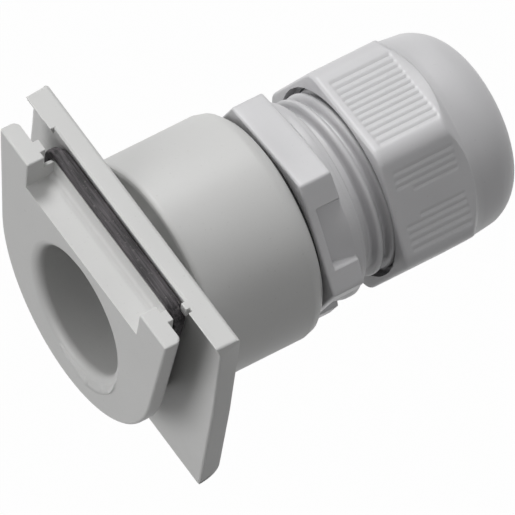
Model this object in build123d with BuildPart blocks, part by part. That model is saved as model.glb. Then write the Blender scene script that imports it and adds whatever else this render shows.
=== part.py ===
"""Cable entry adapter: a slide-in wall adapter with an M20 cable gland.

Millimetres. The bore axis lies along Y and the gland points along +Y. The rear
plate's groove face, which seats against the enclosure's wall, is at y = 0. +Z
points to the straight top edge of both plates.
"""
import math
import os

from build123d import *

os.makedirs("parts", exist_ok=True)

# Front insert plate: a U outline with tapered sides, seen from the front
side_taper = 6.65
front_radius = 15.3
front_centre_z = 2.7
front_top = 14.55
front_thick = 2.25
front_back_chamfer = 0.48
left_side_flare = 0.4

# Notch between the two tabs of the front plate
notch_half_width = 11.35
notch_floor_z = 10.55
notch_depth = 3.6
notch_round = 0.7
tab_nib_inner = 12.25
tab_nib_width = 1.6
tab_nib_depth = 0.72

# Groove that takes the enclosure's wall, and the neck in it
groove_width = 3.2
neck_radius = 10.9
neck_top = 12.9
neck_corner = 1.45

# Rear plate
rear_width = 39.2
rear_top = 14.3
rear_bottom = -14.0
rear_thick = 2.6
rear_bottom_round = 2.55
rear_edge_round = 0.5
rear_side_inset = 1.15
rear_foot_lean = 0.68

# Catches at the rear plate's top ends: a lip towards the groove that slopes back below
left_catch_inner = 14.4
right_catch_inner = 13.8
catch_height = 1.4
catch_lip = 0.54
rear_nib_inner = 12.3
rear_nib_width = 1.05
rear_nib_depth = 0.52

# Wall seal
seal_height = 1.05
seal_width = 1.3
seal_fit = 0.05

# Tube behind the rear plate
tube_neck_radius = 9.9
tube_neck_length = 1.4
tube_radius = 13.82
tube_length = 15.35
tube_front_edge = 0.4
tube_end_round = 2.1
tube_end_flats = 3

# Cable bore through plates and tube
bore_radius = 7.85
bore_mouth_round = 1.2
bore_mouth_flats = 2
mouth_lip_offset = 2.4
mouth_lip_angle = -57.0
mouth_lip_radius = 7.7
mouth_lip_width = 1.0
mouth_lip_height = 0.3

# Gland M20 x 1.5
gland_thread_radius = 10.0
gland_thread_length = 6.95
gland_thread_fit = 0.1
gland_seat_relief = 0.64
gasket_thick = 0.5
gasket_outer_radius = 11.5
gland_hex_across_flats = 24.0
gland_hex_height = 4.3
gland_hex_turn = 8.0
gland_bore_radius = 7.2
pocket_width = 7.75
pocket_rim = 1.1

# Coarse thread that carries the dome nut, at its crests
nut_thread_radius = 10.55
nut_thread_length = 12.0
nut_thread_chamfer = 0.64
nut_thread_pitch = 2.4
tighten_turns = 1.8

# Clamping cage and sealing bush inside the gland
cage_outer_radius = 8.5
cage_wall = 0.72
cage_length = 8.9
cage_fit = 0.2
cage_flange_radius = 10.1
cage_flange_thick = 1.3
cage_slots = 8
cage_slot_width = 0.96
cage_slot_length = 7.5
cage_end_play = 0.2
cable_hole_radius = 6.65
bush_inset = 0.4
socket_cone = 1.2

# Dome nut, as far out as the photograph shows it
nut_gap = 5.35
nut_across_flats = 24.4
nut_corner_round = 2.4
nut_turn = 3.2
nut_edge = 0.4
nut_hex_length = 8.8
nut_shoulder_radius = 12.15
nut_shoulder_length = 1.85
nut_dome_radius = 11.75
nut_dome_start = 14.15
nut_dome_length = 3.9
nut_dome_section = 5.5
nut_dome_flats = 3
nut_mouth_radius = 11.6
nut_mouth_depth = 1.45
nut_thread_fit = 0.2
nut_face_fit = 0.1
nut_hole_radius = 7.35
nut_hole_rim = 0.32
nut_cone_radius = 8.95
nut_cone_length = 4.95

# Places along the bore axis
groove_y = -groove_width
front_y = groove_y - front_thick
tube_neck_y = rear_thick
tube_y = tube_neck_y + tube_neck_length
tube_end_y = tube_y + tube_length
gland_end_y = tube_end_y - gland_thread_length
gland_hex_y = tube_end_y + gasket_thick
nut_thread_y = gland_hex_y + gland_hex_height
gland_top_y = nut_thread_y + nut_thread_length
cage_flange_y = gland_top_y + tighten_turns * nut_thread_pitch + cage_end_play
cage_top_y = cage_flange_y + cage_flange_thick
cage_tip_y = cage_flange_y - cage_length
socket_y = gland_top_y - cage_length
nut_y = nut_thread_y + nut_gap
nut_seat_y = cage_top_y + nut_face_fit
bush_radius = cage_outer_radius - cage_wall - seal_fit


def across(y):
    """Plane square to the bore axis at y, with x to the right and z up."""
    return Plane.XZ.offset(-y)


def u_outline(radius, centre_z, top, corner=0.0):
    """Closed U: an arc below, sides tangent to it that widen upwards, a straight top."""
    lean = math.radians(side_taper)
    foot = (radius * math.cos(lean), centre_z - radius * math.sin(lean))
    half_top = (radius + (top - centre_z) * math.sin(lean)) / math.cos(lean)
    with BuildLine() as outline:
        Line((half_top, top), foot)
        ThreePointArc(foot, (0, centre_z - radius), (-foot[0], foot[1]))
        Line((-foot[0], foot[1]), (-half_top, top))
        Line((-half_top, top), (half_top, top))
    make_face(outline.edges())
    if corner:
        fillet(vertices().group_by(Axis.Y)[-1], corner)


def arc_flats(start, end, radius, flats):
    """Points from start to end on an arc in a few flats, left of its way or, with radius below 0, right."""
    half = math.dist(start, end) / 2
    side = math.copysign(1, radius)
    bulge = math.atan2(end[1] - start[1], end[0] - start[0]) + side * math.pi / 2
    depth = math.sqrt(radius**2 - half**2)
    centre_y = (start[0] + end[0]) / 2 - depth * math.cos(bulge)
    centre_r = (start[1] + end[1]) / 2 - depth * math.sin(bulge)
    spread = side * math.asin(half / abs(radius))
    angles = [bulge + spread * (1 - 2 * i / flats) for i in range(flats + 1)]
    return [(centre_y + abs(radius) * math.cos(a), centre_r + abs(radius) * math.sin(a)) for a in angles]


# Adapter body
with BuildPart() as adapter_body:
    with BuildSketch(across(front_y)):
        u_outline(front_radius, front_centre_z, front_top)
        # The left side spreads a little more than the right one
        left_end = vertices().group_by(Axis.Y)[-1].sort_by(Axis.X)[0]
        left_foot = vertices().sort_by(Axis.X)[1]
        with BuildLine():
            Polyline(
                (left_end.X, left_end.Y),
                (left_end.X - left_side_flare, left_end.Y),
                (left_foot.X, left_foot.Y),
                close=True,
            )
        make_face()
    extrude(amount=-front_thick)
    chamfer(faces().sort_by(Axis.Y)[-1].edges().sort_by(Axis.Z)[:-1], front_back_chamfer)

    # Rear plate, one side set in below its top, and both leaning in below the bore to guide it
    rear_side = rear_width / 2
    left_side = rear_side_inset - rear_side
    with BuildSketch(across(0)):
        with BuildLine():
            Polyline(
                (rear_side - rear_foot_lean, rear_bottom),
                (rear_side, 0),
                (rear_side, rear_top),
                (-rear_side, rear_top),
                (left_side, rear_top - rear_side_inset),
                (left_side, 0),
                (left_side + rear_foot_lean, rear_bottom),
                close=True,
            )
        make_face()
    extrude(amount=-rear_thick)
    back_edges = edges().group_by(Axis.Y)[-1]
    fillet(back_edges.sort_by(Axis.Z)[0], rear_bottom_round)
    fillet(back_edges.sort_by(Axis.Z)[-1], rear_edge_round)

    # Catches, the left one cut to the slope of the plate's end
    for start, width in (
        (-rear_side, rear_side - left_catch_inner),
        (right_catch_inner, rear_side - right_catch_inner),
    ):
        with BuildSketch(Plane.YZ.offset(start)):
            with BuildLine():
                Polyline((0, rear_top), (-catch_lip, rear_top), (0, rear_top - catch_height), close=True)
            make_face()
        extrude(amount=width)
    with BuildSketch(across(-catch_lip)):
        with BuildLine():
            Polyline(
                (-rear_side, rear_top),
                (left_side, rear_top - rear_side_inset),
                (-rear_side, rear_top - rear_side_inset),
                close=True,
            )
        make_face()
    extrude(amount=-catch_lip, mode=Mode.SUBTRACT)

    # Neck in the groove
    with BuildSketch(across(groove_y)):
        u_outline(neck_radius, 0, neck_top, neck_corner)
    extrude(amount=-groove_width)

    # Nibs on the groove side of the two tabs, and one on the rear plate
    tab_nib_middle = tab_nib_inner + tab_nib_width / 2
    with BuildSketch(across(groove_y)):
        with Locations((-tab_nib_middle, (neck_top + front_top) / 2), (tab_nib_middle, (neck_top + front_top) / 2)):
            Rectangle(tab_nib_width, front_top - neck_top)
    extrude(amount=-tab_nib_depth)
    with BuildSketch(across(0)):
        with Locations((rear_nib_inner + rear_nib_width / 2, (neck_top + rear_top) / 2)):
            Rectangle(rear_nib_width, rear_top - neck_top)
    extrude(amount=rear_nib_depth)

    # Notch between the tabs, with a hollow round up to its back wall
    notch_y = front_y + notch_depth
    notch_arc_y = notch_y - notch_round
    notch_arc_z = notch_floor_z + notch_round
    with BuildSketch(Plane.YZ.offset(-notch_half_width)):
        with BuildLine():
            Line((front_y - 1, notch_floor_z), (notch_arc_y, notch_floor_z))
            RadiusArc((notch_arc_y, notch_floor_z), (notch_y, notch_arc_z), -notch_round)
            Line((notch_y, notch_arc_z), (notch_y, front_top + 1))
            Line((notch_y, front_top + 1), (front_y - 1, front_top + 1))
            Line((front_y - 1, front_top + 1), (front_y - 1, notch_floor_z))
        make_face()
    extrude(amount=2 * notch_half_width, mode=Mode.SUBTRACT)

    # Round neck and tube
    with BuildSketch(Plane.YZ):
        with BuildLine():
            Polyline(
                (tube_neck_y, 0),
                (tube_neck_y, tube_neck_radius),
                (tube_y, tube_neck_radius),
                (tube_y, tube_radius - tube_front_edge),
                (tube_y + tube_front_edge, tube_radius),
                *arc_flats(
                    (tube_end_y - tube_end_round, tube_radius),
                    (tube_end_y, tube_radius - tube_end_round),
                    tube_end_round,
                    tube_end_flats,
                ),
                (tube_end_y, 0),
                close=True,
            )
        make_face()
    revolve(axis=Axis.Y)

    # Raised lip beside the bore's mouth, part of a ring set off towards the lower right
    lip_angle = math.radians(mouth_lip_angle)
    lip_x = mouth_lip_offset * math.cos(lip_angle)
    lip_z = mouth_lip_offset * math.sin(lip_angle)
    lip_top = lip_z + mouth_lip_radius
    with BuildSketch(Plane.YZ.offset(lip_x)):
        with BuildLine():
            Polyline(
                (front_y, lip_top - mouth_lip_width),
                (front_y - mouth_lip_height, lip_top - mouth_lip_height / 2),
                (front_y, lip_top),
                close=True,
            )
        make_face()
    revolve(axis=Axis((lip_x, 0, lip_z), (0, 1, 0)))

    # Cable bore, its rounded mouth and the gland's threaded seat
    seat_y = gland_end_y - gland_seat_relief
    seat_radius = gland_thread_radius + gland_thread_fit
    with BuildSketch(across(front_y)):
        Circle(bore_radius)
    extrude(amount=front_y - tube_end_y, mode=Mode.SUBTRACT)
    with BuildSketch(across(seat_y)):
        Circle(seat_radius)
    extrude(amount=-(tube_end_y - seat_y), mode=Mode.SUBTRACT)
    mouth_end_y = front_y + bore_mouth_round
    mouth_start = (front_y, bore_radius + bore_mouth_round)
    with BuildSketch(Plane.YZ):
        with BuildLine():
            Polyline(
                (front_y - mouth_lip_height, 0),
                (front_y - mouth_lip_height, mouth_start[1]),
                *arc_flats(mouth_start, (mouth_end_y, bore_radius), -bore_mouth_round, bore_mouth_flats),
                (mouth_end_y, 0),
                close=True,
            )
        make_face()
    revolve(axis=Axis.Y, mode=Mode.SUBTRACT)

adapter_body.part.label = "adapter_body"
export_step(adapter_body.part, "parts/adapter_body.step")

# Wall seal, stretched round the neck
with BuildPart() as wall_seal:
    seal_inner = neck_radius + seal_fit
    seal_outer = seal_inner + seal_height
    seal_y = front_y + notch_depth
    with BuildSketch(across(seal_y)):
        u_outline(seal_outer, 0, neck_top + seal_fit + seal_height, neck_corner + seal_fit + seal_height)
    extrude(amount=-seal_width)
    with BuildSketch(across(seal_y)):
        u_outline(seal_inner, 0, neck_top + seal_fit, neck_corner + seal_fit)
    extrude(amount=-seal_width, mode=Mode.SUBTRACT)
wall_seal.part.label = "wall_seal"
export_step(wall_seal.part, "parts/wall_seal.step")

# Flat gasket between the tube's end and the hexagon
with BuildPart() as gland_gasket:
    with BuildSketch(across(tube_end_y)):
        Circle(gasket_outer_radius)
        Circle(gland_thread_radius + gland_thread_fit, mode=Mode.SUBTRACT)
    extrude(amount=-gasket_thick)
gland_gasket.part.label = "gland_gasket"
export_step(gland_gasket.part, "parts/gland_gasket.step")

# Gland body
socket_radius = cage_outer_radius + cage_fit
with BuildPart() as gland_body:
    with BuildSketch(Plane.YZ):
        with BuildLine():
            Polyline(
                (gland_end_y, 0),
                (gland_end_y, gland_thread_radius),
                (gland_hex_y, gland_thread_radius),
                (gland_hex_y, nut_thread_radius),
                (gland_top_y - nut_thread_chamfer, nut_thread_radius),
                (gland_top_y, nut_thread_radius - nut_thread_chamfer),
                (gland_top_y, 0),
                close=True,
            )
        make_face()
    revolve(axis=Axis.Y)

    # Hexagon with moulding pockets in four of its faces, the marked face and its opposite left whole
    with BuildSketch(across(gland_hex_y)):
        RegularPolygon(gland_hex_across_flats / 2, 6, major_radius=False, rotation=gland_hex_turn)
    extrude(amount=-gland_hex_height)
    hex_corner = gland_hex_across_flats / 2 / math.cos(math.radians(30))
    with BuildSketch(across(gland_hex_y + pocket_rim)):
        for face_angle in (30, 150, 210, 330):
            with PolarLocations(hex_corner, 1, start_angle=gland_hex_turn + face_angle):
                Rectangle(hex_corner, pocket_width)
        Circle(nut_thread_radius, mode=Mode.SUBTRACT)
    extrude(amount=-(gland_hex_height - pocket_rim), mode=Mode.SUBTRACT)

    # Cable bore, and the socket with its cone for the clamping cage
    with BuildSketch(Plane.YZ):
        with BuildLine():
            Polyline(
                (gland_end_y, 0),
                (gland_end_y, gland_bore_radius),
                (socket_y - socket_cone, gland_bore_radius),
                (socket_y, socket_radius),
                (gland_top_y, socket_radius),
                (gland_top_y, 0),
                close=True,
            )
        make_face()
    revolve(axis=Axis.Y, mode=Mode.SUBTRACT)
gland_body.part.label = "gland_body"
export_step(gland_body.part, "parts/gland_body.step")

# Clamping cage: a flange that the nut pushes, with slotted fingers that reach into the gland
cage_inner_radius = cage_outer_radius - cage_wall
with BuildPart() as clamp_cage:
    with BuildSketch(Plane.YZ):
        with BuildLine():
            Polyline(
                (cage_tip_y, cage_inner_radius),
                (cage_tip_y, cage_outer_radius),
                (cage_flange_y, cage_outer_radius),
                (cage_flange_y, cage_flange_radius),
                (cage_top_y, cage_flange_radius),
                (cage_top_y, cage_inner_radius),
                close=True,
            )
        make_face()
    revolve(axis=Axis.Y)
    with BuildSketch(across(cage_tip_y)):
        with PolarLocations(cage_outer_radius, cage_slots):
            Rectangle(4 * cage_wall, cage_slot_width)
    extrude(amount=-cage_slot_length, mode=Mode.SUBTRACT)
clamp_cage.part.label = "clamp_cage"
export_step(clamp_cage.part, "parts/clamp_cage.step")

# Rubber bush round the cable
with BuildPart() as cable_seal:
    with BuildSketch(across(cage_tip_y + bush_inset)):
        Circle(bush_radius)
        Circle(cable_hole_radius, mode=Mode.SUBTRACT)
    extrude(amount=-(cage_top_y - bush_inset - cage_tip_y - bush_inset))
cable_seal.part.label = "cable_seal"
export_step(cable_seal.part, "parts/cable_seal.step")

# Dome nut: a hexagon with rounded corners inside a turned envelope
dome_y = nut_y + nut_dome_start
nut_end_y = dome_y + nut_dome_length
nut_rim_radius = nut_hole_radius + nut_hole_rim
nut_corner = nut_across_flats / 2 / math.cos(math.radians(30))
with BuildPart() as dome_nut:
    with BuildSketch(across(nut_y)):
        RegularPolygon(nut_across_flats / 2, 6, major_radius=False, rotation=nut_turn)
        fillet(vertices(), nut_corner_round)
    extrude(amount=-(nut_end_y - nut_y))
    with BuildSketch(Plane.YZ):
        hex_end_y = nut_y + nut_hex_length
        with BuildLine():
            Polyline(
                (nut_end_y, 0),
                (nut_y, 0),
                (nut_y, nut_across_flats / 2 - nut_edge),
                (nut_y + nut_edge, nut_across_flats / 2),
                (nut_y + nut_edge, nut_corner),
                (hex_end_y, nut_corner),
                (hex_end_y + nut_shoulder_length, nut_shoulder_radius),
                *arc_flats(
                    (dome_y, nut_dome_radius),
                    (nut_end_y, nut_rim_radius),
                    nut_dome_section,
                    nut_dome_flats,
                ),
                close=True,
            )
        make_face()
    revolve(axis=Axis.Y, mode=Mode.INTERSECT)

    # Wide mouth, thread bore with the seat for the cage's flange, cone and cable hole
    with BuildSketch(Plane.YZ):
        thread_bore_radius = nut_thread_radius + nut_thread_fit
        with BuildLine():
            Polyline(
                (nut_y, 0),
                (nut_y, nut_mouth_radius),
                (nut_y + nut_mouth_depth, nut_mouth_radius),
                (nut_y + nut_mouth_depth, thread_bore_radius),
                (nut_seat_y, thread_bore_radius),
                (nut_seat_y, nut_cone_radius),
                (nut_seat_y + nut_cone_length, nut_hole_radius),
                (nut_end_y, nut_hole_radius),
                (nut_end_y, 0),
                close=True,
            )
        make_face()
    revolve(axis=Axis.Y, mode=Mode.SUBTRACT)
dome_nut.part.label = "dome_nut"
export_step(dome_nut.part, "parts/dome_nut.step")
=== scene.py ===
import math

import bmesh
import bpy
from mathutils import Matrix, Vector


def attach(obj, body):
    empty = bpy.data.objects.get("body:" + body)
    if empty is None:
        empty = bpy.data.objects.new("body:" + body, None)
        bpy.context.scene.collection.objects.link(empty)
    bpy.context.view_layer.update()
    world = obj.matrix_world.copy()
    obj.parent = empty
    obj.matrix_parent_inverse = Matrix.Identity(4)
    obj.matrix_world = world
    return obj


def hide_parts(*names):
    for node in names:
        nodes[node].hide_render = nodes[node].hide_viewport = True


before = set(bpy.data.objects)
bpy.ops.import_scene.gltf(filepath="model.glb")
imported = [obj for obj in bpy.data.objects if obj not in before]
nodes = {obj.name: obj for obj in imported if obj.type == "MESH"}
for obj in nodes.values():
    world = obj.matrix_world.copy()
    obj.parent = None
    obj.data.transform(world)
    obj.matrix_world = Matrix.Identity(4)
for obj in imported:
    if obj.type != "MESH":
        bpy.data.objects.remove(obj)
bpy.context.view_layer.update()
mm = 0.001
print("frame loaded,", len(nodes), "nodes")


# camera, solved from the photograph's own perspective
cameraSettings = {
    "place": (1.088974, -0.869204, 2.066545),
    "right": (0.54266, 0.83672, 0.07358),
    "up": (-0.71876, 0.41725, 0.55614),
    "back": (0.43463, -0.35469, 0.82782),
    "lens": 1571.84, "sensor": 36, "near": 0.05, "far": 50,
}
cameraData = bpy.data.cameras.new("photoCamera")
cameraData.sensor_width = cameraSettings["sensor"]
cameraData.lens = cameraSettings["lens"]
cameraData.clip_start = cameraSettings["near"]
cameraData.clip_end = cameraSettings["far"]
camera = bpy.data.objects.new("photoCamera", cameraData)
bpy.context.scene.collection.objects.link(camera)
turn = Matrix([cameraSettings[side] for side in ("right", "up", "back")]).transposed()
camera.matrix_world = Matrix.LocRotScale(
    Vector(cameraSettings["place"]), turn.to_quaternion().normalized(), None)
bpy.context.scene.camera = camera
bpy.context.scene.view_settings.view_transform = "Standard"
print("camera set")


# materials
def addNode(tree, kind, settings=(), **sockets):
    node = tree.nodes.new(kind)
    for name, value in dict(settings).items():
        setattr(node, name, value)
    for name, value in sockets.items():
        node.inputs[name.replace("_", " ")].default_value = value
    return node


def addNoise(tree, vector, **sockets):
    noise = addNode(tree, "ShaderNodeTexNoise", **sockets)
    tree.links.new(vector, noise.inputs["Vector"])
    return noise.outputs["Fac"]


def addRange(tree, value, **sockets):
    spread = addNode(tree, "ShaderNodeMapRange", **sockets)
    tree.links.new(value, spread.inputs["Value"])
    return spread.outputs["Result"]


def addColour(tree, factor, under, over):
    # lays a colour over a colour or over another node's result
    mix = addNode(tree, "ShaderNodeMix", {"data_type": "RGBA"})
    if isinstance(under, tuple):
        mix.inputs["A"].default_value = under + (1,)
    else:
        tree.links.new(under, mix.inputs["A"])
    mix.inputs["B"].default_value = over + (1,)
    tree.links.new(factor, mix.inputs["Factor"])
    return mix.outputs["Result"]


def addBump(tree, height, strength, distance):
    bump = addNode(tree, "ShaderNodeBump", Strength=strength, Distance=distance)
    tree.links.new(height, bump.inputs["Height"])
    return bump


def startMaterial(name, look):
    material = bpy.data.materials.new(name)
    material.use_nodes = True
    tree = material.node_tree
    shader = tree.nodes["Principled BSDF"]
    shader.inputs["Specular IOR Level"].default_value = look["specular"]
    place = addNode(tree, "ShaderNodeTexCoord").outputs["Object"]
    return material, tree, shader, place


def mouldedPlastic(name, look):
    material, tree, shader, place = startMaterial(name, look)
    link = tree.links.new
    # cloudy colour from the melt flow
    turned = addNode(tree, "ShaderNodeMapping", Rotation=look["flowTurn"])
    link(place, turned.inputs["Vector"])
    flow = addNoise(tree, turned.outputs["Vector"], Scale=look["flowScale"], Detail=4.0, Roughness=0.55)
    clouds = addRange(tree, flow, From_Min=0.35, From_Max=0.7)
    colour = addColour(tree, clouds, look["colour"], look["flowColour"])
    # small specks
    specks = addNoise(tree, place, Scale=look["speckScale"], Detail=2.0)
    specks = addRange(tree, specks, From_Min=0.68, From_Max=0.8, To_Max=look["speckAmount"])
    colour = addColour(tree, specks, colour, look["speckColour"])
    # the edges are a little paler: there a rounded normal leaves the face's own
    shape = addNode(tree, "ShaderNodeNewGeometry")
    rounded = addNode(tree, "ShaderNodeBevel", {"samples": 4}, Radius=look["edgeReach"])
    level = addNode(tree, "ShaderNodeVectorMath", {"operation": "DOT_PRODUCT"})
    link(rounded.outputs["Normal"], level.inputs[0])
    link(shape.outputs["Normal"], level.inputs[1])
    edges = addRange(tree, level.outputs["Value"], From_Min=0.985, From_Max=0.9, To_Max=look["edgeAmount"])
    link(addColour(tree, edges, colour, look["edgeColour"]), shader.inputs["Base Color"])
    # satin skin: the gloss drifts, and a fine spark texture breaks it up
    gloss = addRange(tree, flow, To_Min=look["roughness"][0], To_Max=look["roughness"][1])
    link(gloss, shader.inputs["Roughness"])
    grain = addNoise(tree, place, Scale=look["grainScale"], Detail=3.0, Roughness=0.6)
    skin = addBump(tree, grain, look["grainStrength"], look["grainDepth"])
    waves = addBump(tree, flow, look["sinkStrength"], look["sinkDepth"])
    link(skin.outputs["Normal"], waves.inputs["Normal"])
    link(waves.outputs["Normal"], shader.inputs["Normal"])
    return material


def softRubber(name, look):
    material, tree, shader, place = startMaterial(name, look)
    link = tree.links.new
    # grey bloom with a painted sheen, which runs in streaks where it is stretched: the paler streaks are partly
    # real bloom and partly a painted highlight
    drawn = addNode(tree, "ShaderNodeMapping", Scale=look["bloomAndSheenStretch"])
    link(place, drawn.inputs["Vector"])
    bloomAndSheenNoise = addNoise(tree, drawn.outputs["Vector"], Scale=look["bloomAndSheenScale"], Detail=5.0, Roughness=0.65)
    bloomAndSheenPatches = addRange(tree, bloomAndSheenNoise, From_Min=0.4, From_Max=0.75)
    colour = addColour(tree, bloomAndSheenPatches, look["colour"], look["bloomAndSheenColour"])
    dust = addNoise(tree, place, Scale=look["dustScale"], Detail=1.0)
    dust = addRange(tree, dust, From_Min=0.66, From_Max=0.74, To_Max=look["dustAmount"])
    link(addColour(tree, dust, colour, look["dustColour"]), shader.inputs["Base Color"])
    gloss = addRange(tree, bloomAndSheenNoise, To_Min=look["roughness"][0], To_Max=look["roughness"][1])
    link(gloss, shader.inputs["Roughness"])
    grain = addNoise(tree, place, Scale=look["grainScale"], Detail=4.0, Roughness=0.7)
    skin = addBump(tree, grain, look["grainStrength"], look["grainDepth"])
    link(skin.outputs["Normal"], shader.inputs["Normal"])
    return material


adapterLook = {
    "colour": (0.64, 0.64, 0.632), "flowColour": (0.61, 0.61, 0.602),
    "flowScale": 55.0, "flowTurn": (0.3, 0.2, 0.5),
    "speckScale": 2600.0, "speckColour": (0.42, 0.42, 0.4), "speckAmount": 0.35,
    "edgeColour": (0.74, 0.74, 0.72), "edgeAmount": 0.6, "edgeReach": 0.0002,
    "roughness": (0.38, 0.5), "specular": 0.45,
    "grainScale": 2200.0, "grainStrength": 0.22, "grainDepth": 0.00003,
    "sinkStrength": 0.25, "sinkDepth": 0.0004,
}
glandLook = {
    "colour": (0.632, 0.628, 0.64), "flowColour": (0.6, 0.597, 0.608),
    "flowScale": 70.0, "flowTurn": (0.1, 0.7, 0.2),
    "speckScale": 3000.0, "speckColour": (0.43, 0.43, 0.45), "speckAmount": 0.3,
    "edgeColour": (0.72, 0.72, 0.735), "edgeAmount": 0.5, "edgeReach": 0.00015,
    "roughness": (0.34, 0.46), "specular": 0.5,
    "grainScale": 2600.0, "grainStrength": 0.16, "grainDepth": 0.000025,
    "sinkStrength": 0.2, "sinkDepth": 0.0003,
}
nutLook = dict(glandLook, flowScale=60.0, flowTurn=(0.6, 0.1, 0.4))
cageLook = dict(glandLook, flowScale=90.0, roughness=(0.4, 0.52))
# the seal's paler streak colour is partly a real rubber bloom and partly a painted highlight along the ring
sealLook = {
    "colour": (0.014, 0.013, 0.014), "bloomAndSheenColour": (0.15, 0.137, 0.146),
    "bloomAndSheenScale": 3200.0, "bloomAndSheenStretch": (0.06, 1.0, 1.0),
    "dustScale": 3200.0, "dustColour": (0.22, 0.21, 0.2), "dustAmount": 0.5,
    "roughness": (0.5, 0.68), "specular": 0.3,
    "grainScale": 3000.0, "grainStrength": 0.5, "grainDepth": 0.00006,
}
gasketLook = dict(
    sealLook, bloomAndSheenStretch=(1.0, 1.0, 1.0), colour=(0.03, 0.03, 0.031), bloomAndSheenColour=(0.045, 0.045, 0.046))
bushLook = dict(
    gasketLook, colour=(0.034, 0.034, 0.035), bloomAndSheenColour=(0.055, 0.055, 0.055), dustAmount=0.3)

adapterPlastic = mouldedPlastic("adapterPlastic", adapterLook)
glandPlastic = mouldedPlastic("glandPlastic", glandLook)
nutPlastic = mouldedPlastic("nutPlastic", nutLook)
cagePlastic = mouldedPlastic("cagePlastic", cageLook)
sealRubber = softRubber("sealRubber", sealLook)
gasketRubber = softRubber("gasketRubber", gasketLook)
bushRubber = softRubber("bushRubber", bushLook)
print("materials made")


# shared making steps: distances in metres, angles in degrees
makingSettings = {"copyMerge": 2e-6, "finishMerge": 1e-6, "flatWithin": 0.6, "smoothUpTo": 40}


def mergedCopy(nodeName):
    bm = bmesh.new()
    bm.from_mesh(nodes[nodeName].data)
    bmesh.ops.remove_doubles(bm, verts=bm.verts, dist=makingSettings["copyMerge"])
    flatWithin = math.radians(makingSettings["flatWithin"])
    bmesh.ops.dissolve_limit(bm, angle_limit=flatWithin, verts=bm.verts, edges=bm.edges)
    return bm


def softenEdges(bm, width, sharperThan, segments):
    # rounds the outer edges of a moulding
    limit = math.radians(sharperThan)
    sharp = [e for e in bm.edges if e.is_manifold and e.is_convex and e.calc_face_angle() > limit]
    bmesh.ops.bevel(
        bm, geom=sharp, offset=width * mm, offset_type="OFFSET", segments=segments, profile=0.5,
        affect="EDGES", clamp_overlap=False, material=-1, loop_slide=True,
    )


def softCopy(nodeName, settings):
    bm = mergedCopy(nodeName)
    softenEdges(bm, settings["edgeRound"], settings["sharperThan"], settings["segments"])
    return bm


def softenByWidth(bm, widthOf, segments):
    # the Bevel modifier takes a width for each edge, which the operator doesn't
    layer = bm.edges.layers.float.new("bevel_weight_edge")
    widths = {e: widthOf(e) for e in bm.edges if e.is_manifold and e.is_convex}
    widest = max(widths.values())
    for edge, width in widths.items():
        edge[layer] = width / widest
    rough = bpy.data.meshes.new("rough")
    bm.to_mesh(rough)
    bm.free()
    holder = bpy.data.objects.new("rough", rough)
    bpy.context.scene.collection.objects.link(holder)
    soften = holder.modifiers.new("soften", "BEVEL")
    soften.limit_method = "WEIGHT"
    soften.offset_type = "OFFSET"
    soften.width = widest * mm
    soften.segments = segments
    soften.profile = 0.5
    soften.use_clamp_overlap = False
    softened = bmesh.new()
    softened.from_object(holder, bpy.context.evaluated_depsgraph_get())
    bpy.data.objects.remove(holder)
    bpy.data.meshes.remove(rough)
    return softened


def finishPiece(bm, name, body, node, material, smoothUpTo=makingSettings["smoothUpTo"]):
    bmesh.ops.remove_doubles(bm, verts=bm.verts, dist=makingSettings["finishMerge"])
    bmesh.ops.recalc_face_normals(bm, faces=bm.faces)
    mesh = bpy.data.meshes.new(name)
    bm.to_mesh(mesh)
    bm.free()
    mesh.shade_smooth()
    mesh.set_sharp_from_angle(angle=math.radians(smoothUpTo))
    mesh.materials.append(material)
    piece = bpy.data.objects.new(name, mesh)
    bpy.context.scene.collection.objects.link(piece)
    evenNormals = piece.modifiers.new("evenNormals", "WEIGHTED_NORMAL")
    evenNormals.keep_sharp = True
    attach(piece, body)
    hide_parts(node)
    print(name, "made,", sum(len(p.vertices) - 2 for p in mesh.polygons), "triangles")


def startCircle(bm, angles, along, radius):
    circle = bmesh.ops.create_circle(bm, cap_ends=False, segments=len(angles), radius=1.0)["verts"]
    for vert, angle in zip(circle, angles):
        vert.co = (radius * mm * math.cos(angle), along * mm, radius * mm * math.sin(angle))
    return list({e for v in circle for e in v.link_edges})


def growRing(bm, edges, placeAt):
    # the next ring of a turned skin: placeAt gives length along the axis and radius for an angle
    grown = bmesh.ops.extrude_edge_only(bm, edges=edges)["geom"]
    for vert in [g for g in grown if isinstance(g, bmesh.types.BMVert)]:
        angle = math.atan2(vert.co.z, vert.co.x)
        along, radius = placeAt(angle)
        vert.co = (radius * mm * math.cos(angle), along * mm, radius * mm * math.sin(angle))
    return [g for g in grown if isinstance(g, bmesh.types.BMEdge) and g.is_boundary]


def growProfile(bm, ring, profile):
    for along, radius in profile:
        ring = growRing(bm, ring, lambda angle: (along, radius))
    return ring


def fromFace(angle, turn):
    # the nearest flat of a hexagon and the angle from its middle
    turned = math.degrees(angle) - 30 - turn
    face = round(turned / 60)
    return face % 6, math.radians(turned - 60 * face)


def hexRadius(angle, shape):
    face, off = fromFace(angle, shape["turn"])
    off = abs(off)
    flat = shape["flat"]
    inner = flat - shape["cornerRound"]
    if math.tan(off) < inner * math.tan(math.radians(30)) / flat:
        return flat / math.cos(off)
    toCorner = math.radians(30) - off
    middle = inner / math.cos(math.radians(30))
    beside = middle * math.sin(toCorner)
    return middle * math.cos(toCorner) + math.sqrt(shape["cornerRound"] ** 2 - beside ** 2)


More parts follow.
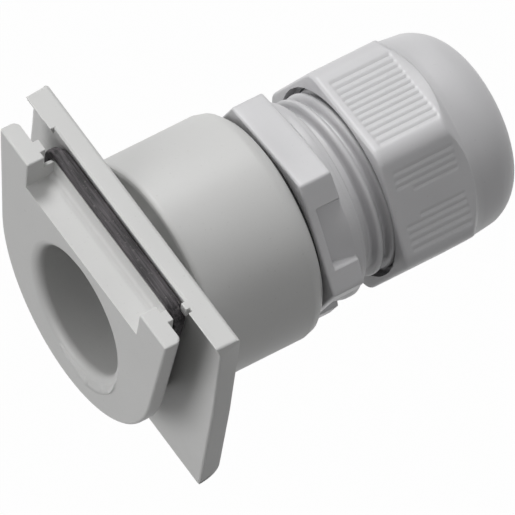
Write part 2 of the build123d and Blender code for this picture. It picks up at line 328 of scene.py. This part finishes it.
# adapter body: plates, neck and tube in one moulding
anywhere = -math.inf
adapterSettings = {
    "segments": 3, "sharperThan": 42, "plateRound": 0.34,
    # where edges are softened otherwise: y from and to, least z, least distance from the middle, and the
    # round there. The first that fits counts.
    "zones": (
        (1.9, 2.7, 13.5, anywhere, 0),  # round already
        (-3.15, -0.02, anywhere, anywhere, 0.1),  # neck
        (-3.3, -2.4, 12.8, anywhere, 0.1),  # front plate's top, behind
        (-1.0, 0.3, 13.0, 12.0, 0.1),  # catches and nibs
        (anywhere, -1.0, 9.8, anywhere, 0.26),  # tabs
    ),
    "frontFace": -5.45, "faceDepth": 0.1, "mouthZone": 10.6,
    "lipFull": (-70.0, -24.0), "lipFade": 14.0, "lipLeast": 0.2, "lipFrom": 0.001,
}


def adapterRound(edge):
    a = adapterSettings
    if edge.calc_face_angle() < math.radians(a["sharperThan"]):
        return 0
    middle = (edge.verts[0].co + edge.verts[1].co) / 2 / mm
    if middle.y < a["frontFace"] + a["faceDepth"] and middle.xz.length < a["mouthZone"]:
        return 0  # the lip beside the bore's mouth is too fine
    for start, end, above, beyond, width in a["zones"]:
        if start < middle.y < end and middle.z > above and abs(middle.x) > beyond:
            return width
    return a["plateRound"]


def lipShare(angle):
    # the lip is full at the lower right and dies out both ways
    a = adapterSettings
    beyond = max(a["lipFull"][0] - angle, angle - a["lipFull"][1], 0) / a["lipFade"]
    return max(a["lipLeast"], 1 - beyond)


bm = mergedCopy("adapter_body")
for vert in bm.verts:
    proud = adapterSettings["frontFace"] - vert.co.y / mm
    if proud > adapterSettings["lipFrom"]:
        share = lipShare(math.degrees(math.atan2(vert.co.z, vert.co.x)))
        vert.co.y = (adapterSettings["frontFace"] - proud * share) * mm
bm = softenByWidth(bm, adapterRound, adapterSettings["segments"])
finishPiece(bm, "adapterHousing", "adapter", "adapter_body", adapterPlastic)


# rubber rings
sealSettings = {
    "edgeRound": 0.3, "segments": 4, "sharperThan": 60,
    "footHeight": 0.5, "footFrom": -0.9, "footTo": -0.03, "footRound": 0.12, "footSegments": 2,
    # the line half way up the section: its lean, reach and top, and its upper corners
    "lean": 6.65, "reach": 11.5, "top": 13.5, "corner": (11.0, 11.45), "cornerRadius": 2.03,
}


def nearNeck(place):
    # inside the line half way up the ring's section
    s = sealSettings
    lean = math.radians(s["lean"])
    across, up = abs(place.x) / mm, place.z / mm
    if across * math.sin(lean) + up * math.cos(lean) < 0:
        return place.xz.length < s["reach"] * mm
    corner = Vector((across - s["corner"][0], up - s["corner"][1]))
    if corner.x > 0 and corner.y > 0:
        return corner.length < s["cornerRadius"]
    return across * math.cos(lean) - up * math.sin(lean) < s["reach"] and place.z < s["top"] * mm


def sealFoot():
    # a low strip on the neck behind the ring, up to the rear plate
    s = sealSettings
    foot = mergedCopy("wall_seal")
    ends = [v.co.y for v in foot.verts]
    middle = (min(ends) + max(ends)) / 2
    inner = [v.co.copy() for v in foot.verts if v.co.y > middle and nearNeck(v.co)]
    for vert in foot.verts:
        vert.co.y = (s["footTo"] if vert.co.y > middle else s["footFrom"]) * mm
        if not nearNeck(vert.co):
            flat = Vector((vert.co.x, vert.co.z))
            nearest = min((Vector((p.x, p.z)) for p in inner), key=lambda p: (p - flat).length)
            flat = nearest + (flat - nearest).normalized() * s["footHeight"] * mm
            vert.co.x, vert.co.z = flat
    softenEdges(foot, s["footRound"], s["sharperThan"], s["footSegments"])
    strip = bpy.data.meshes.new("sealFoot")
    foot.to_mesh(strip)
    foot.free()
    return strip


bm = softCopy("wall_seal", sealSettings)
strip = sealFoot()
bm.from_mesh(strip)
bpy.data.meshes.remove(strip)
finishPiece(bm, "wallSealRing", "adapter", "wall_seal", sealRubber)

gasketSettings = {"edgeRound": 0.16, "segments": 3, "sharperThan": 60}
bm = softCopy("gland_gasket", gasketSettings)
finishPiece(bm, "glandGasketRing", "adapter", "gland_gasket", gasketRubber)


# gland body: hexagon with moulding pockets, collar and rope thread, grown ring by ring
glandSettings = {
    "cutAt": 19.8, "rimsPart": 9.0, "front": 19.85, "frontRadius": 10.3,
    "flat": 12.0, "turn": 8.0, "cornerRound": 0.4, "hexBack": 24.15, "backSlope": 0.1,
    # deeper along the bore, and in from the faces
    "edgeSteps": ((0.0, 0.34), (0.03, 0.2), (0.1, 0.08), (0.24, 0.02), (0.4, 0.0)),
    "pocketFaces": (0, 2, 3, 5), "pocketFront": 20.95, "pocketHalf": 17.4, "pocketMiddle": -1.0,
    "pocketSlant": 0.5, "pocketFoot": 11.1,
    # place and share of the pockets' depth
    "pocketWall": ((20.88, 0.0), (20.93, 0.06), (20.96, 0.3), (20.98, 1.0)),
    "faceRings": (21.2, 21.6, 22.0, 22.4, 22.8, 23.2, 23.5),
    # before the back, and in from the faces
    "backSteps": ((0.24, 0.0), (0.12, 0.015), (0.05, 0.05), (0.01, 0.1), (0.0, 0.17)),
    "collarRadius": 12.0,
    # place and radius
    "collar": (
        (24.17, 12.0), (24.3, 12.0), (24.6, 12.0), (24.94, 12.0), (25.03, 11.96), (25.08, 11.86),
        (25.09, 11.56), (25.2, 11.53), (25.5, 11.52), (25.68, 11.48), (25.78, 11.38), (25.86, 11.2),
        (25.95, 10.8), (26.05, 10.2),
    ),
    "pitch": 1.85, "crest": 10.95, "root": 9.75, "crestAt": 27.75, "crestAngle": 90.0, "crestWidth": 0.38,
    "flank": 3, "start": 26.15, "runInFrom": 26.75, "runIn": 0.5, "top": 36.15, "topChamfer": 0.8,
    "ringStep": 0.14,
    "socket": ((36.15, 9.3), (36.15, 8.9), (36.05, 8.75), (35.85, 8.7), (27.25, 8.7), (26.05, 7.2)),
    # degrees: even steps, and closer ones round the corners and the pockets' sides
    "step": 1.5, "cornerSteps": (-0.8, -0.4, 0, 0.4, 0.8), "sideSteps": (-0.7, -0.5, -0.15, 0.15, 0.5, 0.7),
    "leastStep": 0.35,
}


def threadRadius(angle, along):
    g = glandSettings
    turns = (along - g["crestAt"]) / g["pitch"] + (math.degrees(angle) - g["crestAngle"]) / 360
    phase = turns - round(turns)  # 0 at the crest, a half in the root
    lobe = max(0, 1 - (abs(phase) / g["crestWidth"]) ** g["flank"])
    runIn = min(1, max(0, (along - g["runInFrom"]) / g["runIn"]))
    ridge = g["root"] + (g["crest"] - g["root"]) * lobe * runIn
    runOut = g["crest"] - g["topChamfer"] + max(0, g["top"] - along)
    return min(ridge, runOut)


def pocketShare(angle):
    # 1 in a pocket, 0 on the faces, with steep sides between
    g = glandSettings
    face, off = fromFace(angle, g["turn"])
    if face not in g["pocketFaces"]:
        return 0
    off = abs(math.degrees(off) - g["pocketMiddle"])
    return min(1, max(0, (g["pocketHalf"] + g["pocketSlant"] - off) / (2 * g["pocketSlant"])))


def pocketFloor(along):
    g = glandSettings
    rise = (along - g["pocketFront"]) / (g["hexBack"] - g["pocketFront"])
    return g["pocketFoot"] + rise * (g["collarRadius"] - g["pocketFoot"])


def hexBackAt(angle):
    # the back falls away a little towards the corners
    g = glandSettings
    return g["hexBack"] - g["backSlope"] * (hexRadius(angle, g) - g["collarRadius"])


def faceRadius(angle, along, inset=0.0, depth=1.0):
    share = pocketShare(angle) * depth
    return (1 - share) * (hexRadius(angle, glandSettings) - inset) + share * pocketFloor(along)


gland = glandSettings
angles = {round(step * gland["step"], 3) for step in range(round(360 / gland["step"]))}
for face in range(6):
    middle = 30 + gland["turn"] + 60 * face
    extra = [middle + 30 + off for off in gland["cornerSteps"]]
    if face in gland["pocketFaces"]:
        middle += gland["pocketMiddle"]
        extra += [middle + side * (gland["pocketHalf"] + off) for side in (-1, 1) for off in gland["sideSteps"]]
    angles = {a for a in angles if min(abs((a - e + 180) % 360 - 180) for e in extra) > gland["leastStep"]}
    angles |= {round(e % 360, 3) for e in extra}
angles = [math.radians(a) for a in sorted(angles)]

# the hidden front end stays as the CAD node has it
bm = mergedCopy("gland_body")
bmesh.ops.bisect_plane(
    bm, geom=bm.verts[:] + bm.edges[:] + bm.faces[:], dist=1e-7,
    plane_co=(0, gland["cutAt"] * mm, 0), plane_no=(0, 1, 0), clear_outer=True,
)
rims = [e for e in bm.edges if e.is_boundary]
outerRim = [e for e in rims if e.verts[0].co.xz.length > gland["rimsPart"] * mm]
innerRim = [e for e in rims if e.verts[0].co.xz.length <= gland["rimsPart"] * mm]
startRing = startCircle(bm, angles, gland["front"], gland["frontRadius"])
ring = startRing
for deeper, inset in gland["edgeSteps"]:
    ring = growRing(bm, ring, lambda angle: (gland["front"] + deeper, hexRadius(angle, gland) - inset))
for place, depth in gland["pocketWall"]:
    ring = growRing(bm, ring, lambda angle: (place, faceRadius(angle, place, 0, depth)))
for place in gland["faceRings"]:
    ring = growRing(bm, ring, lambda angle: (place, faceRadius(angle, place)))
for before, inset in gland["backSteps"]:
    def onBackEdge(angle):
        along = hexBackAt(angle) - before
        return along, faceRadius(angle, along, inset)
    ring = growRing(bm, ring, onBackEdge)
ring = growProfile(bm, ring, gland["collar"])
along = gland["start"]
while along < gland["top"]:
    here = along
    ring = growRing(bm, ring, lambda angle: (here, threadRadius(angle, here)))
    along += gland["ringStep"]
ring = growProfile(bm, ring, gland["socket"])
bmesh.ops.bridge_loops(bm, edges=ring + innerRim)
bmesh.ops.bridge_loops(bm, edges=startRing + outerRim)
finishPiece(bm, "glandThreadedBody", "adapter", "gland_body", glandPlastic)


# clamping cage and sealing bush, seen in the nut's cable hole
cageSettings = {"edgeRound": 0.12, "segments": 2, "sharperThan": 50}
bm = softCopy("clamp_cage", cageSettings)
finishPiece(bm, "clampCageFingers", "clamp_insert", "clamp_cage", cagePlastic)

bushSettings = {"edgeRound": 0.35, "segments": 4, "sharperThan": 60}
bm = softCopy("cable_seal", bushSettings)
finishPiece(bm, "cableSealBush", "clamp_insert", "cable_seal", bushRubber)


# dome nut: rounded hexagon with grip grooves, shoulder, dome and cable hole, grown ring by ring
nutSettings = {
    "front": 29.5, "mouthRadius": 11.6, "mouthRim": 0.12,
    "flat": 12.2, "cornerRound": 2.4, "turn": 3.2, "smoothUpTo": 32,
    # place, and in from the faces
    "frontSteps": ((29.5, 0.36), (29.53, 0.24), (29.62, 0.12), (29.78, 0.04), (29.95, 0.0), (30.2, 0.0)),
    # rings up the hexagon: first place, spacing and count
    "faceRings": ((30.5, 0.1, 6), (31.6, 0.6, 2), (32.5, 0.1, 6), (33.6, 0.8, 6), (38.3, 0.1, 7)),
    # the last rings crowd together under the crease
    "creaseGap": 0.4, "crowding": 0.05, "crowdedFrom": 38.0, "creaseEdge": 0.14,
    "hexEnd": 38.3, "corner": 14.087, "shoulderEnd": 40.15, "shoulderRadius": 12.15,
    "coneShares": (0.06, 0.5, 0.94),
    "neck": ((40.3, 12.08), (41.2, 12.03), (42.4, 11.9), (43.65, 11.75)),
    "domeStart": 43.65, "domeRadius": 11.75, "domeEnd": 47.55, "rimRadius": 7.67, "domeSection": 5.5,
    "domeSteps": 12,
    "inside": (
        (47.5, 7.52), (47.38, 7.4), (47.2, 7.35), (47.02, 7.35), (42.07, 8.95), (42.07, 11.1), (30.95, 11.1),
        (30.95, 11.6), (29.6, 11.6),
    ),
    "grooves": 12, "grooveSpacing": 3.96, "grooveMiddle": -1.6, "grooveDepth": 0.11,
    "grooveStart": 30.6, "shortStart": 32.6, "grooveEnd": 38.85, "grooveFade": 0.3,
    "bareFaces": (0, 3), "bareLines": (5, 6, 7), "shortLines": (4, 8),
    # degrees: even steps between the grooves, and the gaps below which a step is left out
    "steps": 360, "leastGroove": 0.1, "leastStep": 0.55,
}
nut = nutSettings
grooveAngles = []
for face in range(6):
    for line in range(nut["grooves"]):
        middle = 30 + nut["turn"] + 60 * face + nut["grooveMiddle"]
        grooveAngles.append(math.radians(middle + (line - (nut["grooves"] - 1) / 2) * nut["grooveSpacing"]))


def grooveCut(angle, along):
    # shallow ribs with a fine line between them; the lines near a bare place stop or start late
    face, off = fromFace(angle, nut["turn"])
    line = (math.degrees(off) - nut["grooveMiddle"]) / nut["grooveSpacing"] + (nut["grooves"] - 1) / 2
    nearest = min(nut["grooves"] - 1, max(0, round(line)))
    start = nut["grooveStart"]
    if face in nut["bareFaces"]:
        if nearest in nut["bareLines"]:
            return 0
        if nearest in nut["shortLines"]:
            start = nut["shortStart"]
    section = max(0, 1 - 2 * abs(line - nearest)) ** 2
    ends = min(along - start, nut["grooveEnd"] - along) / nut["grooveFade"]
    return nut["grooveDepth"] * section * min(1, max(0, ends))


def creaseAt(angle):
    # where the shoulder's cone meets the rounded hexagon
    share = (nut["corner"] - hexRadius(angle, nut)) / (nut["corner"] - nut["shoulderRadius"])
    return nut["hexEnd"] + share * (nut["shoulderEnd"] - nut["hexEnd"])


def coneRadius(along):
    share = (along - nut["hexEnd"]) / (nut["shoulderEnd"] - nut["hexEnd"])
    return nut["corner"] - share * (nut["corner"] - nut["shoulderRadius"])


quarter = math.radians(nut["grooveSpacing"] / 4)
angles = sorted((a + side * quarter) % (2 * math.pi) for a in grooveAngles for side in (-2, -1, 0, 1, 2))
nextAngles = angles[1:] + [angles[0] + 2 * math.pi]
angles = [a for a, b in zip(angles, nextAngles) if b - a > math.radians(nut["leastGroove"])]
for step in range(nut["steps"]):
    plain = math.radians(step * 360 / nut["steps"])
    gaps = [abs((plain - a + math.pi) % (2 * math.pi) - math.pi) for a in angles]
    if min(gaps) > math.radians(nut["leastStep"]):
        angles.append(plain)
angles.sort()

bm = bmesh.new()
firstRing = startCircle(bm, angles, nut["front"], nut["mouthRadius"])
ring = growProfile(bm, firstRing, [(nut["front"], nut["mouthRadius"] + nut["mouthRim"])])
for place, inset in nut["frontSteps"]:
    ring = growRing(bm, ring, lambda angle: (place, hexRadius(angle, nut) - inset))
for place in [first + spacing * step for first, spacing, count in nut["faceRings"] for step in range(count)]:
    def onHexagon(angle):
        crowded = creaseAt(angle) - nut["creaseGap"] + nut["crowding"] * (place - nut["crowdedFrom"])
        along = min(place, crowded)
        return along, hexRadius(angle, nut) - grooveCut(angle, along)
    ring = growRing(bm, ring, onHexagon)
ring = growRing(bm, ring, lambda angle: (creaseAt(angle) - nut["creaseEdge"], hexRadius(angle, nut)))
for share in nut["coneShares"]:
    def onCone(angle):
        along = creaseAt(angle) + share * (nut["shoulderEnd"] - creaseAt(angle))
        return along, coneRadius(along)
    ring = growRing(bm, ring, onCone)
ring = growProfile(bm, ring, nut["neck"])
# the dome's section is an arc from the neck's end to the hole's rim
chord = Vector((nut["domeEnd"] - nut["domeStart"], nut["rimRadius"] - nut["domeRadius"]))
bulge = math.atan2(chord.y, chord.x) + math.pi / 2
spread = math.asin(chord.length / 2 / nut["domeSection"])
depth = math.sqrt(nut["domeSection"] ** 2 - chord.length ** 2 / 4)
towardsBulge = Vector((math.cos(bulge), math.sin(bulge)))
domeCentre = Vector((nut["domeStart"], nut["domeRadius"])) + chord / 2 - depth * towardsBulge
for step in range(1, nut["domeSteps"] + 1):
    lean = bulge + spread * (1 - 2 * step / nut["domeSteps"])
    along = domeCentre.x + nut["domeSection"] * math.cos(lean)
    ring = growProfile(bm, ring, [(along, domeCentre.y + nut["domeSection"] * math.sin(lean))])
ring = growProfile(bm, ring, nut["inside"])
bmesh.ops.bridge_loops(bm, edges=ring + firstRing)
finishPiece(bm, "domeNutCap", "dome_nut", "dome_nut", nutPlastic, nut["smoothUpTo"])


# floor and light
floorSettings = {"height": -0.12, "size": 4.0, "shown": 0.95, "lit": 0.05, "glow": 0.94}
floorMesh = bpy.data.meshes.new("studioFloor")
bm = bmesh.new()
bmesh.ops.create_grid(bm, x_segments=1, y_segments=1, size=floorSettings["size"] / 2)
bmesh.ops.translate(bm, vec=(0, 0, floorSettings["height"]), verts=bm.verts)
bm.to_mesh(floorMesh)
bm.free()
studioFloor = bpy.data.objects.new("studioFloor", floorMesh)
bpy.context.scene.collection.objects.link(studioFloor)


def seenDirectly(tree):
    # 1 for what the camera, a reflection or a clear part looks at
    path = addNode(tree, "ShaderNodeLightPath")
    either = addNode(tree, "ShaderNodeMath", {"operation": "MAXIMUM"})
    anyOfThree = addNode(tree, "ShaderNodeMath", {"operation": "MAXIMUM"})
    tree.links.new(path.outputs["Is Camera Ray"], either.inputs[0])
    tree.links.new(path.outputs["Is Glossy Ray"], either.inputs[1])
    tree.links.new(either.outputs["Value"], anyOfThree.inputs[0])
    tree.links.new(path.outputs["Is Transmission Ray"], anyOfThree.inputs[1])
    return anyOfThree.outputs["Value"]


floorMaterial = bpy.data.materials.new("paleFloor")
floorMaterial.use_nodes = True
tree = floorMaterial.node_tree
tree.nodes.remove(tree.nodes["Principled BSDF"])
seen = seenDirectly(tree)
paint = addColour(tree, seen, (floorSettings["lit"],) * 3, (floorSettings["shown"],) * 3)
matte = addNode(tree, "ShaderNodeBsdfDiffuse")
glow = addNode(tree, "ShaderNodeEmission")
share = addNode(tree, "ShaderNodeMath", {"operation": "MULTIPLY"})
share.inputs[1].default_value = floorSettings["glow"]
blend = addNode(tree, "ShaderNodeMixShader")
tree.links.new(paint, matte.inputs["Color"])
tree.links.new(seen, share.inputs[0])
tree.links.new(share.outputs["Value"], blend.inputs[0])
tree.links.new(matte.outputs["BSDF"], blend.inputs[1])
tree.links.new(glow.outputs["Emission"], blend.inputs[2])
tree.links.new(blend.outputs["Shader"], tree.nodes["Material Output"].inputs["Surface"])
floorMesh.materials.append(floorMaterial)

lightSettings = {
    "keySun": {"from": (-0.6, 0.1, 0.83), "strength": 1.82, "softness": 22},
    "frontFill": {"from": (-0.3, -0.9, 0.2), "strength": 1.42, "softness": 40},
    "sideFill": {"from": (1.0, 0.3, 0.3), "strength": 0.2, "softness": 60},
}
for name, light in lightSettings.items():
    lamp = bpy.data.lights.new(name, "SUN")
    lamp.energy = light["strength"]
    lamp.angle = math.radians(light["softness"])
    sun = bpy.data.objects.new(name, lamp)
    sun.rotation_mode = "QUATERNION"
    sun.rotation_quaternion = Vector(light["from"]).to_track_quat("Z", "Y")
    bpy.context.scene.collection.objects.link(sun)

# the object is lit more from above, and the background looks white
aroundSettings = {"low": 0.21, "high": 0.31}
studio = bpy.data.worlds.new("whiteStudio")
studio.use_nodes = True
tree = studio.node_tree
around = tree.nodes["Background"]
around.inputs["Color"].default_value = (1, 1, 1, 1)
skyPlace = addNode(tree, "ShaderNodeTexCoord")
skyHeight = addNode(tree, "ShaderNodeSeparateXYZ")
tree.links.new(skyPlace.outputs["Generated"], skyHeight.inputs["Vector"])
skyLevel = addRange(tree, skyHeight.outputs["Z"], To_Min=aroundSettings["low"], To_Max=aroundSettings["high"])
tree.links.new(skyLevel, around.inputs["Strength"])
backdrop = addNode(tree, "ShaderNodeBackground", Color=(1, 1, 1, 1), Strength=1.0)
blend = addNode(tree, "ShaderNodeMixShader")
tree.links.new(seenDirectly(tree), blend.inputs[0])
tree.links.new(around.outputs["Background"], blend.inputs[1])
tree.links.new(backdrop.outputs["Background"], blend.inputs[2])
tree.links.new(blend.outputs["Shader"], tree.nodes["World Output"].inputs["Surface"])
bpy.context.scene.world = studio
print("stage and light set")
